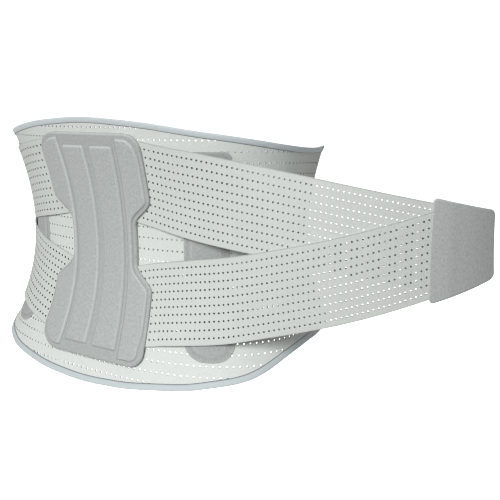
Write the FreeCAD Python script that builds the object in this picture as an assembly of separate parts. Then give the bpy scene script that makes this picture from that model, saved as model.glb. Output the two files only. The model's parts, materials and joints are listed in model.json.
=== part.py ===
import FreeCAD, Part

import math
import os

# Lumbar support belt, closed round a trunk as it is worn.
# Millimetres. The origin is the centre of the trunk at the waist, +Z is up, the lumbar panel
# faces -Y, and +X is the wearer's side whose two pull straps are drawn out.
# Places on the belt are given as (s, z, offset): s is the length along the waist line from the
# middle of the back, positive towards +X, z is the height above the waist, and offset is the
# distance outward from the inner face of the knit.

# ---- Driving dimensions -------------------------------------------------------------------

# Trunk that the belt encloses: a superellipse at the waist, flaring out above and below it
WAIST_HALF_WIDTH = 166.0
WAIST_HALF_DEPTH = 96.5
ROUNDNESS = 2.62            # exponent of the superellipse; 2 is a plain ellipse
FLARE_ABOVE = 16.5          # how far the belt stands out 100 mm above the waist
FLARE_BELOW = 23.6          # the same, 100 mm below it

# Rim heights: mean, first and second cosine term of the angle round the trunk
RIM_TOP = (101.3, 16.5, 6.3)
RIM_BOTTOM = (-106.4, -23.5, -7.8)
FRONT_DROP = 7.0            # the front panels are lower than the back at the top
FRONT_RISE = 28.0           # and cut up at the bottom, clear of the thighs
FRONT_FROM, FRONT_TO = math.radians(105.0), math.radians(150.0)

KNIT = 1.8                  # thickness of the belt's knitted fabric
BINDING_HEIGHT = 6.0
BINDING_INNER, BINDING_OUTER = -0.9, 2.8
SEAM_GAP = 0.15             # clearance between pieces that are sewn edge to edge
PAD_GAP = 0.2               # clearance of a pad from the knit that it is sewn to

# Places along the waist
BACK_END = 66.0             # the stiff back ends here and the knit bends freely beyond
WING_START = 94.0           # the side wings start here
WING_OVERLAP = 45.0         # each wing runs this far past the middle of the front
LAP_RISE = 4.1              # the left wing lies this much further out where it laps the right

# Lumbar panel: corners of the right half as (half width, height, corner radius)
PANEL_CORNERS = [
    (58.5, 111.4, 13.0),
    (63.5, 40.5, 9.0),
    (44.5, 23.5, 14.0),
    (44.5, -24.0, 14.0),
    (63.5, -43.5, 9.0),
    (58.5, -115.2, 13.0),
]
PANEL_LINING = (3.8, 4.8)   # offsets of the panel's layers
PANEL_COVER = (4.9, 9.2)
PAD_LAYER = (6.0, 8.2)
STAY_LAYER = (5.1, 5.7)
CHANNEL_LAYER = (4.8, 8.3)
CHANNEL_SPACE = 0.4         # play round a stay and its pad, in the cover's channel
INNER_CUSHION = (4.0, 30.0) # the two middle cushions, from their inner to their outer edge
OUTER_CUSHION = (34.0, 42.0)
INNER_PAD_TOP, INNER_PAD_BOTTOM = 98.0, -103.0
OUTER_PAD_TOP, OUTER_PAD_BOTTOM = 103.0, -108.0
STAY_WIDTH_INNER, STAY_WIDTH_OUTER = 14.0, 6.0
STAY_END_GAP = 4.0          # from the end of a pad's channel to the end of its stay
CAP_LENGTH = 7.0            # moulded cap on each end of a spring steel stay

# Side pocket with its wide plastic stay
POCKET_CENTRE, POCKET_WIDTH = 118.5, 45.0
POCKET_TOP, POCKET_BOTTOM = 95.0, -105.5
POCKET_RADIUS_TOP, POCKET_RADIUS_BOTTOM = 7.0, 19.0
POCKET_LAYER = (2.0, 4.5)
SIDE_STAY_LAYER = (2.5, 3.7)
SIDE_STAY_WIDTH, SIDE_STAY_TOP, SIDE_STAY_BOTTOM = 27.0, 86.0, -93.0

# Pull straps: width, and height of the centre line as start + slope * s
STRAP_WIDTH = 79.8
STRAP_THICKNESS = 1.2
UPPER_START, UPPER_SLOPE = 78.4, -0.214
LOWER_START, LOWER_SLOPE = -80.2, 0.248
STRAP_ROOT = 36.0           # the straps are sewn down from here, under the lumbar panel
ROOT_OFFSET = 2.2
UPPER_OFFSET, LOWER_OFFSET = 4.8, 6.6
STRAP_CLIMB = 34.0          # the straps climb from the root to their full offset over this length
STRAP_END = 327.6
FREE_FROM = 70.0            # the drawn-out straps leave the belt here
FREE_FLATTEN = 150.0        # and lose the belt's flare over this length
FREE_TURN = -0.186 / 500.0  # turn of the free straps per mm, and its growth
FREE_TURN_GROWTH = -0.132 / 230.0 ** 2

# Hand tab: corners as (length from its sewn edge, height, corner radius)
TAB_START = 329.4
TAB_CORNERS = [
    (0.0, 53.5, 6.0),
    (67.5, 36.5, 5.0),
    (69.5, -27.5, 5.0),
    (0.0, -43.5, 6.0),
]
TAB_LENGTH = TAB_CORNERS[2][0]
TAB_COVER = (8.1, 9.7)
TAB_CORE = (4.7, 8.0)
TAB_HOOK = (3.3, 4.6)
TAB_CORE_START = 14.0       # the strap ends lie between cover and hook pad up to here
TAB_BORDER = 3.0            # the core and the hook pad stay inside the cover's edge

# Front closure
CLOSURE_HEIGHT = (-42.0, 64.0)
CLOSURE_THICKNESS = 0.8

ANGLE_STEP = math.radians(0.5)
PATCH_STEP = 9.0            # spacing of the shape points along the waist
LEVELS = 7                  # shape points over the height of a fabric piece
SEW_TOLERANCE = 0.001

LEFT, RIGHT = -1, 1


# ---- Trunk --------------------------------------------------------------------------------

def power(value, exponent):
    """Signed power, as a superellipse needs."""
    return math.copysign(abs(value) ** exponent, value)


def ring_point(angle, grow):
    """Point of the superellipse at an angle from the middle of the back."""
    exponent = 2.0 / ROUNDNESS
    x = (WAIST_HALF_WIDTH + grow) * power(math.sin(angle), exponent)
    y = -(WAIST_HALF_DEPTH + grow) * power(math.cos(angle), exponent)
    return x, y


def arc_lengths():
    """Length along the waist at equal steps of the angle, past the middle of the front."""
    lengths = [0.0]
    last = ring_point(0.0, 0.0)
    for step in range(1, int(1.4 * math.pi / ANGLE_STEP)):
        here = ring_point(step * ANGLE_STEP, 0.0)
        lengths.append(lengths[-1] + math.dist(last, here))
        last = here
    return lengths


ARC = arc_lengths()


def angle_at(s):
    """Angle round the trunk at a length along the waist."""
    length = abs(s)
    step = 0
    while ARC[step + 1] < length:
        step += 1
    share = (length - ARC[step]) / (ARC[step + 1] - ARC[step])
    return math.copysign((step + share) * ANGLE_STEP, s)


def length_at(angle):
    """Length along the waist at a positive angle."""
    step = int(angle / ANGLE_STEP)
    share = angle / ANGLE_STEP - step
    return ARC[step] + share * (ARC[step + 1] - ARC[step])


HALF_GIRTH = length_at(math.pi)
WING_END = HALF_GIRTH + WING_OVERLAP


def flare(z):
    """How far the belt stands out from the waist line at a height."""
    rate = FLARE_ABOVE if z > 0 else FLARE_BELOW
    return rate * (z / 100.0) ** 2


def smooth(value):
    """Smooth step from 0 to 1."""
    value = min(max(value, 0.0), 1.0)
    return value * value * (3.0 - 2.0 * value)


def trunk_point(s, z, offset):
    """A place on the belt."""
    x, y = ring_point(angle_at(s), flare(z) + offset)
    return FreeCAD.Vector(x, y, z)


def directions(s):
    """Unit vectors along the waist (towards +s) and outward at the waist."""
    step = trunk_point(s + 0.5, 0.0, 0.0) - trunk_point(s - 0.5, 0.0, 0.0)
    step.normalize()
    return step, FreeCAD.Vector(step.y, -step.x, 0.0)


def lap(s):
    """Extra offset of the left wing where it lies over the right one."""
    return LAP_RISE * smooth((-s - (HALF_GIRTH - 105.0)) / 45.0)


def left_point(s, z, offset):
    """A place on the left wing, raised where it laps the right one."""
    return trunk_point(s, z, offset + lap(s))


def free_point(s, z, offset):
    """A place on the drawn-out right straps."""
    if s <= FREE_FROM:
        return trunk_point(s, z, offset)
    free = s - FREE_FROM
    along, outward = directions(FREE_FROM)
    turn = FREE_TURN * free + FREE_TURN_GROWTH * free * free
    point = trunk_point(FREE_FROM, z, offset)
    point += along * (free * math.cos(turn)) + outward * (free * math.sin(turn))
    return point - outward * (flare(z) * smooth(free / FREE_FLATTEN))


def rim(terms, s, front):
    """Height of a rim at a place along the waist."""
    angle = abs(angle_at(s))
    mean, first, second = terms
    share = smooth((angle - FRONT_FROM) / (FRONT_TO - FRONT_FROM))
    return mean + first * math.cos(angle) + second * math.cos(2.0 * angle) + front * share


def rim_top(s):
    return rim(RIM_TOP, s, -FRONT_DROP)


def rim_bottom(s):
    return rim(RIM_BOTTOM, s, FRONT_RISE)


# ---- Solids -------------------------------------------------------------------------------

def spread(first, last, count):
    """Evenly spaced values, ends included."""
    return [first + (last - first) * i / (count - 1) for i in range(count)]


def skin(points):
    """Smooth surface through a grid of points."""
    surface = Part.BSplineSurface()
    surface.interpolate(points)
    return surface


def rims_of(surface):
    """The four edge curves of a surface."""
    u0, u1, v0, v1 = surface.bounds()
    return [surface.uIso(u0), surface.uIso(u1), surface.vIso(v0), surface.vIso(v1)]


def layer(place, s_range, bottom, top, inner, outer, levels=LEVELS):
    """Closed solid of a fabric or plate: it follows place() between two ends, two heights and
    two offsets, each of the last four a number or a function of s."""
    def value(item, s):
        return item(s) if callable(item) else item

    count = max(4, 1 + round(abs(s_range[1] - s_range[0]) / PATCH_STEP))

    def grid(offset):
        rows = []
        for s in spread(s_range[0], s_range[1], count):
            heights = spread(value(bottom, s), value(top, s), levels)
            rows.append([place(s, z, value(offset, s)) for z in heights])
        return rows

    inside, outside = skin(grid(inner)), skin(grid(outer))
    faces = [inside.toShape(), outside.toShape()]
    for near, far in zip(rims_of(inside), rims_of(outside)):
        faces.append(Part.makeRuledSurface(near.toShape(), far.toShape()))
    shell = Part.makeShell(faces)
    shell.sewShape(SEW_TOLERANCE)
    solid = Part.makeSolid(shell)
    if solid.Volume < 0:
        solid.reverse()
    return solid


def corner_arc(before, corner, after, radius):
    """Start, middle and end of the arc that rounds a corner."""
    back = (before - corner).normalize()
    ahead = (after - corner).normalize()
    half = back.getAngle(ahead) / 2.0
    reach = radius / math.tan(half)
    inward = (back + ahead).normalize()
    centre = corner + inward * (radius / math.sin(half))
    return corner + back * reach, centre - inward * radius, corner + ahead * reach


def rounded_wire(corners):
    """Closed wire through (point, radius) corners."""
    count = len(corners)
    arcs = []
    for i, (point, radius) in enumerate(corners):
        before = corners[i - 1][0]
        after = corners[(i + 1) % count][0]
        arcs.append(corner_arc(before, point, after, radius))
    edges = []
    for i, (start, middle, end) in enumerate(arcs):
        edges.append(Part.Arc(start, middle, end).toShape())
        edges.append(Part.LineSegment(end, arcs[(i + 1) % count][0]).toShape())
    return Part.Wire(edges)


def prism(corners, origin, along, outward, depth=40.0):
    """Block with a rounded outline of (length, height, radius) corners, through the belt."""
    up = FreeCAD.Vector(0, 0, 1)
    start = origin - outward * depth
    placed = [(start + along * u + up * v, radius) for u, v, radius in corners]
    return Part.Face(rounded_wire(placed)).extrude(outward * (2.0 * depth))


def cap_group(solids):
    """Several separate solids kept in one node."""
    return Part.makeCompound(solids)


def save(name, shape):
    """Write one sub-part."""
    shape.exportStep("parts/" + name + ".step")
    print(name, "volume", round(shape.Volume), "valid", shape.isValid())


# ---- Belt body ----------------------------------------------------------------------------

def knit(place, s0, s1):
    """Knitted belt fabric between the bindings."""
    def low(s):
        return rim_bottom(s) + BINDING_HEIGHT + SEAM_GAP

    def high(s):
        return rim_top(s) - BINDING_HEIGHT - SEAM_GAP

    return layer(place, (s0, s1), low, high, 0.0, KNIT)


def binding_top(place, s0, s1):
    """Elastic edging along the top rim."""
    def low(s):
        return rim_top(s) - BINDING_HEIGHT

    return layer(place, (s0, s1), low, rim_top, BINDING_INNER, BINDING_OUTER, 4)


def binding_bottom(place, s0, s1):
    """Elastic edging along the bottom rim."""
    def high(s):
        return rim_bottom(s) + BINDING_HEIGHT

    return layer(place, (s0, s1), rim_bottom, high, BINDING_INNER, BINDING_OUTER, 4)


def end_binding(place, s0, s1):
    """Elastic edging down the front end of a wing."""
    def low(s):
        return rim_bottom(s) + BINDING_HEIGHT + SEAM_GAP

    def high(s):
        return rim_top(s) - BINDING_HEIGHT - SEAM_GAP

    return layer(place, (s0, s1), low, high, BINDING_INNER, BINDING_OUTER)


# ---- Lumbar panel -------------------------------------------------------------------------

def panel_outline(inset):
    """Dog-bone outline of the lumbar panel, drawn in by an inset."""
    half = []
    for width, height, radius in PANEL_CORNERS:
        half.append((width - inset, height - math.copysign(inset, height), radius))
    mirrored = [(-width, height, radius) for width, height, radius in reversed(half)]
    return half + mirrored


def panel_sheet(offsets, inset):
    """Layer of the lumbar panel with the dog-bone outline."""
    reach = PANEL_CORNERS[1][0] + 6.0
    top = PANEL_CORNERS[0][1] + 4.0
    bottom = PANEL_CORNERS[-1][1] - 4.0
    blank = layer(trunk_point, (-reach, reach), bottom, top, offsets[0], offsets[1])
    along, outward = directions(0.0)
    return blank.common(prism(panel_outline(inset), trunk_point(0, 0, 0), along, outward, 60.0))


def cushion_channels():
    """Place of the four cushions: side, near edge, far edge, bottom, top and stay width."""
    channels = []
    for side in (LEFT, RIGHT):
        near, far = OUTER_CUSHION
        channels.append((side, near, far, OUTER_PAD_BOTTOM, OUTER_PAD_TOP, STAY_WIDTH_OUTER))
        near, far = INNER_CUSHION
        channels.append((side, near, far, INNER_PAD_BOTTOM, INNER_PAD_TOP, STAY_WIDTH_INNER))
    return sorted(channels, key=lambda item: item[0] * item[1])


def build_panel():
    """Lining, cover, foam pads and spring steel stays of the lumbar panel."""
    save("lumbar_panel_lining", panel_sheet(PANEL_LINING, 0.0))
    cover = panel_sheet(PANEL_COVER, 0.0)
    caps = []
    for number, (side, near, far, bottom, top, width) in enumerate(cushion_channels(), 1):
        edges = (side * near, side * far)
        channel = layer(trunk_point, edges, bottom, top, *CHANNEL_LAYER)
        cover = cover.cut(channel)
        pad_edges = (side * (near + CHANNEL_SPACE), side * (far - CHANNEL_SPACE))
        low, high = bottom + CHANNEL_SPACE, top - CHANNEL_SPACE
        save(f"lumbar_panel_pad_{number}", layer(trunk_point, pad_edges, low, high, *PAD_LAYER))

        middle = side * (near + far) / 2.0
        stay_edges = (middle - width / 2.0, middle + width / 2.0)
        low, high = bottom + STAY_END_GAP, top - STAY_END_GAP
        steel = layer(trunk_point, stay_edges, low + CAP_LENGTH, high - CAP_LENGTH, *STAY_LAYER)
        save(f"lumbar_stay_{number}", steel)
        for ends in ((low, low + CAP_LENGTH - SEAM_GAP), (high - CAP_LENGTH + SEAM_GAP, high)):
            caps.append(layer(trunk_point, stay_edges, ends[0], ends[1], *STAY_LAYER, 4))
    save("lumbar_panel_cover", cover)
    save("lumbar_stay_caps", cap_group(caps))


# ---- Side pockets -------------------------------------------------------------------------

def build_side_pocket(name, side):
    """Padded pocket on a wing with its wide plastic stay."""
    half = POCKET_WIDTH / 2.0
    centre = side * POCKET_CENTRE
    outline = [
        (-half, POCKET_TOP, POCKET_RADIUS_TOP),
        (half, POCKET_TOP, POCKET_RADIUS_TOP),
        (half, POCKET_BOTTOM, POCKET_RADIUS_BOTTOM),
        (-half, POCKET_BOTTOM, POCKET_RADIUS_BOTTOM),
    ]
    margin = 3.0
    edges = (centre - half - margin, centre + half + margin)
    heights = (POCKET_BOTTOM - margin, POCKET_TOP + margin)
    along, outward = directions(centre)
    block = prism(outline, trunk_point(centre, 0, 0), along, outward)
    cover = layer(trunk_point, edges, *heights, *POCKET_LAYER).common(block)
    stay_half = SIDE_STAY_WIDTH / 2.0
    stay_edges = (centre - stay_half, centre + stay_half)
    cavity_edges = (stay_edges[0] - CHANNEL_SPACE, stay_edges[1] + CHANNEL_SPACE)
    cavity = layer(trunk_point, cavity_edges, SIDE_STAY_BOTTOM - CHANNEL_SPACE,
                   SIDE_STAY_TOP + CHANNEL_SPACE, SIDE_STAY_LAYER[0] - 0.1, SIDE_STAY_LAYER[1] + 0.1)
    save(name + "_side_pocket", cover.cut(cavity))
    save(name + "_side_stay", layer(trunk_point, stay_edges, SIDE_STAY_BOTTOM, SIDE_STAY_TOP,
                                    *SIDE_STAY_LAYER))


# ---- Straps and tabs ----------------------------------------------------------------------

def strap(place, side, start, slope, offset, s0, s1):
    """Flat elastic strap between two places along the waist; s0 and s1 are distances."""
    half = STRAP_WIDTH / 2.0 * math.hypot(1.0, slope)

    def low(s):
        return start + slope * abs(s) - half

    def high(s):
        return start + slope * abs(s) + half

    def inner(s):
        climb = smooth((abs(s) - BACK_END + 6.0) / STRAP_CLIMB)
        return ROOT_OFFSET + (offset - ROOT_OFFSET) * climb

    def outer(s):
        return inner(s) + STRAP_THICKNESS

    return layer(place, (side * s0, side * s1), low, high, inner, outer)


def upper_strap(place, side, s0, s1):
    return strap(place, side, UPPER_START, UPPER_SLOPE, UPPER_OFFSET, s0, s1)


def lower_strap(place, side, s0, s1):
    return strap(place, side, LOWER_START, LOWER_SLOPE, LOWER_OFFSET, s0, s1)


def tab_layer(place, side, offsets, first, border):
    """Layer of a hand tab, cut to the tab's rounded outline."""
    half = TAB_LENGTH / 2.0
    middle = side * (TAB_START + half)
    along = place(middle + 0.5, 0, 0) - place(middle - 0.5, 0, 0)
    pace = along.Length
    middle = side * (TAB_START + half / pace)
    corners = []
    for reach, height, radius in TAB_CORNERS:
        u = max(reach, first) - (border if reach > 0 else 0.0)
        v = height - math.copysign(border, height)
        corners.append((side * (u - half), v, radius))
    edges = (side * (TAB_START + first / pace), side * (TAB_START + (TAB_LENGTH + 6.0) / pace))
    blank = layer(place, edges, TAB_CORNERS[-1][1] - 4.0, TAB_CORNERS[0][1] + 4.0, *offsets)
    along.normalize()
    outward = FreeCAD.Vector(along.y, -along.x, 0)
    block = prism(corners, place(middle, 0, 0), along, outward, 25.0)
    return blank.common(block)


def build_straps(name, side, place):
    """The two pull straps of one side beyond the bending stretch, and their hand tab."""
    save(name + "_upper_strap", upper_strap(place, side, WING_START, STRAP_END))
    save(name + "_lower_strap", lower_strap(place, side, WING_START, STRAP_END))
    save(name + "_tab_cover", tab_layer(place, side, TAB_COVER, 0.0, 0.0))
    save(name + "_tab_core", tab_layer(place, side, TAB_CORE, TAB_CORE_START, TAB_BORDER))
    save(name + "_tab_hook_pad", tab_layer(place, side, TAB_HOOK, 0.0, TAB_BORDER))


# ---- Whole belt ---------------------------------------------------------------------------

def build_back():
    """Back of the belt, from one bending stretch to the other."""
    edges = (-BACK_END, BACK_END)
    save("back_fabric", knit(trunk_point, *edges))
    save("back_binding_top", binding_top(trunk_point, *edges))
    save("back_binding_bottom", binding_bottom(trunk_point, *edges))
    build_panel()


def build_bend(name, side, strap_place):
    """Bending stretch between the back and a wing, with the roots of the straps."""
    first = side * (BACK_END + SEAM_GAP)
    last = side * (WING_START - SEAM_GAP)
    save(name + "_bend_fabric", knit(trunk_point, first, last))
    ends = [binding_top(trunk_point, first, last), binding_bottom(trunk_point, first, last)]
    save(name + "_bend_bindings", cap_group(ends))
    roots = [upper_strap(trunk_point, side, STRAP_ROOT, BACK_END),
             lower_strap(trunk_point, side, STRAP_ROOT, BACK_END)]
    save(name + "_strap_roots", cap_group(roots))
    reach = (BACK_END + SEAM_GAP, WING_START - SEAM_GAP)
    stretch = [upper_strap(strap_place, side, *reach), lower_strap(strap_place, side, *reach)]
    save(name + "_bend_straps", cap_group(stretch))


def build_wing(name, side, place):
    """Side and front wing of the belt."""
    fabric_end = WING_END - BINDING_HEIGHT
    save(name + "_wing_fabric", knit(place, side * WING_START, side * fabric_end))
    save(name + "_binding_top", binding_top(place, side * WING_START, side * WING_END))
    save(name + "_binding_bottom", binding_bottom(place, side * WING_START, side * WING_END))
    save(name + "_end_binding", end_binding(place, side * (fabric_end + SEAM_GAP), side * WING_END))
    build_side_pocket(name, side)


def build_closure():
    """Hook pad inside the left wing's end and the loop pad that it grips on the right one."""
    bottom, top = CLOSURE_HEIGHT
    hook_out = -PAD_GAP
    hook_in = hook_out - CLOSURE_THICKNESS
    hook_edges = (-(HALF_GIRTH - 36.0), -(HALF_GIRTH + 36.0))
    save("left_closure_hook_pad", layer(left_point, hook_edges, bottom, top, hook_in, hook_out))
    loop_in = KNIT + PAD_GAP
    loop_edges = (HALF_GIRTH - 42.0, HALF_GIRTH + 36.0)
    save("right_closure_loop_pad",
         layer(trunk_point, loop_edges, bottom, top, loop_in, loop_in + CLOSURE_THICKNESS))


os.makedirs("parts", exist_ok=True)
print("girth at the waist", round(2.0 * HALF_GIRTH, 1))
build_back()
build_bend("left", LEFT, trunk_point)
build_bend("right", RIGHT, free_point)
build_wing("left", LEFT, left_point)
build_wing("right", RIGHT, trunk_point)
build_closure()
build_straps("left", LEFT, left_point)
build_straps("right", RIGHT, free_point)
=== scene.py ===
import json
import math

import bmesh
import bpy
import numpy as np
from mathutils import Matrix, Vector
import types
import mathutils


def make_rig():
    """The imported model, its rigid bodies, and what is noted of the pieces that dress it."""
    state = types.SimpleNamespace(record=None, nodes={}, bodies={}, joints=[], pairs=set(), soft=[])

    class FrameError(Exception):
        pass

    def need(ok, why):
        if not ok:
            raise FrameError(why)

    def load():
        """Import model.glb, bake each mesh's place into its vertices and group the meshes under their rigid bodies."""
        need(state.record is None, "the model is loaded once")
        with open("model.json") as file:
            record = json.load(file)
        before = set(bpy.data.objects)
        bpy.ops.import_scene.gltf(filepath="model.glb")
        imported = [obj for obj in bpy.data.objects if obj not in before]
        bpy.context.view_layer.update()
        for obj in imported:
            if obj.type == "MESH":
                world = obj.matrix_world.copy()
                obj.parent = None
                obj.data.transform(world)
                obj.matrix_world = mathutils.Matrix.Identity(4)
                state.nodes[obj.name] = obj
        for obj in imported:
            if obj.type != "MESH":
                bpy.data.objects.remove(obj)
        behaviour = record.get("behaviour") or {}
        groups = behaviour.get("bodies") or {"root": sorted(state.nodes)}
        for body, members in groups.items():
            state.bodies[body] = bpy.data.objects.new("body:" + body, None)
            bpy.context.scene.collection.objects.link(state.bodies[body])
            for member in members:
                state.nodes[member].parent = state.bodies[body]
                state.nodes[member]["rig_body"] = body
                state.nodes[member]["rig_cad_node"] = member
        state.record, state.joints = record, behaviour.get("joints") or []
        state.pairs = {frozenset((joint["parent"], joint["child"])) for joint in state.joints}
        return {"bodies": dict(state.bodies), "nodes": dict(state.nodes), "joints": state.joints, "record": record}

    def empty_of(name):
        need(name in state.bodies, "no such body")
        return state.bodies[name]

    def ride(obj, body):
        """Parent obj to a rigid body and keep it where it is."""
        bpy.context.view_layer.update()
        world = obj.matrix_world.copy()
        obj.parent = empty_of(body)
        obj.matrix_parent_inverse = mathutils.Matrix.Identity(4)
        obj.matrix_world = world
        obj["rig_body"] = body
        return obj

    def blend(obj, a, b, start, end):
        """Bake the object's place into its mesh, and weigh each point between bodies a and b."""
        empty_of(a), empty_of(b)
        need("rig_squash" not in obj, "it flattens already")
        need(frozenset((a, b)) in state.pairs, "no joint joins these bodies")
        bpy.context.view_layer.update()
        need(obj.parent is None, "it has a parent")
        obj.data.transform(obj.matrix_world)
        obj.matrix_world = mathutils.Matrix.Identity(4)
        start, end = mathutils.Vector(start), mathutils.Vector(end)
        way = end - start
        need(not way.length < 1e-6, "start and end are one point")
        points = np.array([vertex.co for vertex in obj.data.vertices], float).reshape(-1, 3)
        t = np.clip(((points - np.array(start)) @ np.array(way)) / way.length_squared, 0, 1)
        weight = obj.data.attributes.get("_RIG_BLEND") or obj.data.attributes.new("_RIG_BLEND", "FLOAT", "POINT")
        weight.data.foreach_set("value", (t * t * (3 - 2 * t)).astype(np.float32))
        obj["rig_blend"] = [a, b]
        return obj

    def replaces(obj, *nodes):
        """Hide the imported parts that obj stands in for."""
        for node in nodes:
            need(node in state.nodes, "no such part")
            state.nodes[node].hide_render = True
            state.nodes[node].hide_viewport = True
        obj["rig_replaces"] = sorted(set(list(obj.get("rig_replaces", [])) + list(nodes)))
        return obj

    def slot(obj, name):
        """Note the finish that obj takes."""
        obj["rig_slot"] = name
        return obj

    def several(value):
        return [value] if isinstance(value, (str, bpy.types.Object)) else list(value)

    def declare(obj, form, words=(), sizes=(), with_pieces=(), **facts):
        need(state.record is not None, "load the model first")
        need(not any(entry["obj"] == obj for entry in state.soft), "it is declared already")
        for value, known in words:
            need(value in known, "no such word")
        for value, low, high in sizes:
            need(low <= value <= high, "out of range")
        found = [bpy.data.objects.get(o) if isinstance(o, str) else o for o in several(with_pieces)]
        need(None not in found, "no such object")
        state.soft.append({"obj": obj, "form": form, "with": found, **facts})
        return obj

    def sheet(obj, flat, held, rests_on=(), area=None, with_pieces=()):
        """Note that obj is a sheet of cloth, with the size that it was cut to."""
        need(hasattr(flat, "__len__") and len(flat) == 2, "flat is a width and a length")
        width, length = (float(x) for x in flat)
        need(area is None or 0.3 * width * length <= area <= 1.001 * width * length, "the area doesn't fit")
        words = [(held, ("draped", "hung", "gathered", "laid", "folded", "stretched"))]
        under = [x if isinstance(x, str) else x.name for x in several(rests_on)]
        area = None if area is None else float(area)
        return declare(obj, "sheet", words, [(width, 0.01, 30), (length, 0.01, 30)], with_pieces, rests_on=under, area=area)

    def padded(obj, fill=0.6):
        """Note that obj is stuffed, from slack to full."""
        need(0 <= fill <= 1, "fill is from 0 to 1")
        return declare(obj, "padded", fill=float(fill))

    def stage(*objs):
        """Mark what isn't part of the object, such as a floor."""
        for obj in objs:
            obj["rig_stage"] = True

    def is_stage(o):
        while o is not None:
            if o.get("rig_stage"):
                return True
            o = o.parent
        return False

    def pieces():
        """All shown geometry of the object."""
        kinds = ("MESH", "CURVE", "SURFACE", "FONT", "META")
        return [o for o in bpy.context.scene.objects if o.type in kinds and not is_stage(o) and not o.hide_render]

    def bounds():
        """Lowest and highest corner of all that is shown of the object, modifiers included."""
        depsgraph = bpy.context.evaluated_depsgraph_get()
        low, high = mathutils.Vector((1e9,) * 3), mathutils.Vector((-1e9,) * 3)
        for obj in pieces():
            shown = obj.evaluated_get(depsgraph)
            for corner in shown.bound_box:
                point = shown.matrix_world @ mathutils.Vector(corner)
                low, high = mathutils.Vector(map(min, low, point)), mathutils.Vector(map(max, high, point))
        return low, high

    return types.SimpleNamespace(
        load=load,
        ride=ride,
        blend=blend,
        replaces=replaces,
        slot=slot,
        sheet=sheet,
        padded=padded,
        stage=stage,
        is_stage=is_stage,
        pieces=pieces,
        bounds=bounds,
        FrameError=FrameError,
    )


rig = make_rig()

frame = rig.load()
CAD_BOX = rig.bounds()

# Lumbar support belt, in the CAD model's frame. Places on the belt are (s, z, offset) in
# millimetres, as in the CAD model: length along the waist from the middle of the back, height
# above the waist, and distance outward from the inner face of the knit. Meshes are in metres.
MM = 0.001

# ---- Belt dimensions, the same as the CAD model's ----
WAIST_HALF_WIDTH = 166.0
WAIST_HALF_DEPTH = 96.5
ROUNDNESS = 2.62
FLARE_ABOVE = 16.5
FLARE_BELOW = 23.6
RIM_TOP = (101.3, 16.5, 6.3)
RIM_BOTTOM = (-106.4, -23.5, -7.8)
# Gentle waves of the worn rims: centre on either side, reach and height.
WAVES_TOP = [(0.0, 62.0, 2.4), (108.0, 62.0, -2.5), (200.0, 50.0, 1.2), (268.0, 45.0, 4.2)]
WAVES_BOTTOM = [(0.0, 40.0, -1.2), (74.0, 40.0, 1.4), (150.0, 38.0, -2.9), (188.0, 30.0, 0.5)]
FRONT_DROP = 7.0
FRONT_RISE = 28.0
FRONT_FROM, FRONT_TO = math.radians(105.0), math.radians(150.0)
KNIT_INNER, KNIT_OUTER = 0.9, 1.8
BINDING_HEIGHT = 6.0
BINDING_INNER, BINDING_OUTER = -0.9, 2.8
SHADOW_LINE_WIDTH, SHADOW_LINE_FADE = 1.0, 0.7     # painted shadow line along the binding's inner edge
WING_OVERLAP = 45.0
LAP_RISE = 4.1
LAP_FROM, LAP_OVER = 105.0, 45.0     # from this far before the front's middle, over this length
STRAP_WIDTH = 79.8
# Centre lines of the pull straps: height at the back and slope.
UPPER_STRAP = (78.4, -0.214)
LOWER_STRAP = (-80.2, 0.248)
# How a strap leaves its straight line: bow of the drawn-out run, and the rise of its bottom
# and its top edge towards the panel as (rise, full at, none at).
STRAP_SHAPE = {
    "right_upper": (1.5, (-4.8, 95.0, 225.0), (-2.6, 60.0, 130.0)),
    "right_lower": (-3.6, (9.0, 58.0, 150.0), (6.6, 45.0, 155.0)),
    "left_upper": (0.0, (-2.2, 47.0, 125.0), (-2.2, 47.0, 125.0)),
    "left_lower": (0.0, (5.8, 58.0, 190.0), (5.0, 130.0, 250.0)),
}
# Radius of each strap's holes, and their spacing along it.
STRAP_HOLES = {
    "right_upper": (0.97, 4.8),
    "right_lower": (0.97, 4.8),
    "left_upper": (1.12, 6.7),
    "left_lower": (1.12, 5.7),
}
BOW_FROM, BOW_TO = 90.0, 400.0
# Offsets over the side pocket and of the lower strap where the two cross; thickness.
LEFT_STRAPS = (3.5, 4.8, 1.1)
RIGHT_STRAPS = (3.9, 6.0, 1.8)
CROSS_FROM, CROSS_CLIMB = 125.0, 40.0
ROOT_OFFSET = 2.2
STRAP_SELVEDGE = 1.2
CLIMB_FROM, STRAP_CLIMB = 60.0, 34.0
FREE_FROM = 70.0
FREE_FLATTEN = 150.0
FREE_TURN = -0.186 / 500.0
FREE_TURN_GROWTH = -0.132 / 230.0 ** 2
# Corners of the panel's two sides, from the top: half width, height and radius.
PANEL_CORNERS_RIGHT = [
    (58.8, 111.4, 17.0),
    (63.0, 41.2, 13.0),
    (44.0, 24.2, 13.0),
    (44.0, -24.0, 13.0),
    (62.3, -43.0, 9.0),
    (58.8, -117.0, 13.0),
]
PANEL_CORNERS_LEFT = [
    (66.0, 111.4, 27.0),
    (66.5, 42.3, 14.0),
    (43.2, 25.0, 13.0),
    (43.2, -24.0, 13.0),
    (66.5, -43.0, 12.0),
    (65.5, -117.0, 27.0),
]
POCKET_CENTRE, POCKET_WIDTH = 118.5, 45.0
POCKET_TOP, POCKET_BOTTOM = 95.0, -105.5
POCKET_RADIUS_TOP, POCKET_RADIUS_BOTTOM = 7.0, 19.0
TAB_START = 329.4
TAB_CORNERS = [(0.0, 54.4), (72.5, 37.3), (76.0, -30.0), (0.0, -46.2)]
TAB_CURL = 8.0              # the drawn-out tab curls inwards by this much at its end
TAB_BORDER = 3.0            # the hook pad stays inside the tab's edge
TAB_HOLD = 17.0             # length of the tab that holds the strap ends
TAB_MIDDLE = 361.5          # place along the waist where the tab's length is measured
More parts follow.
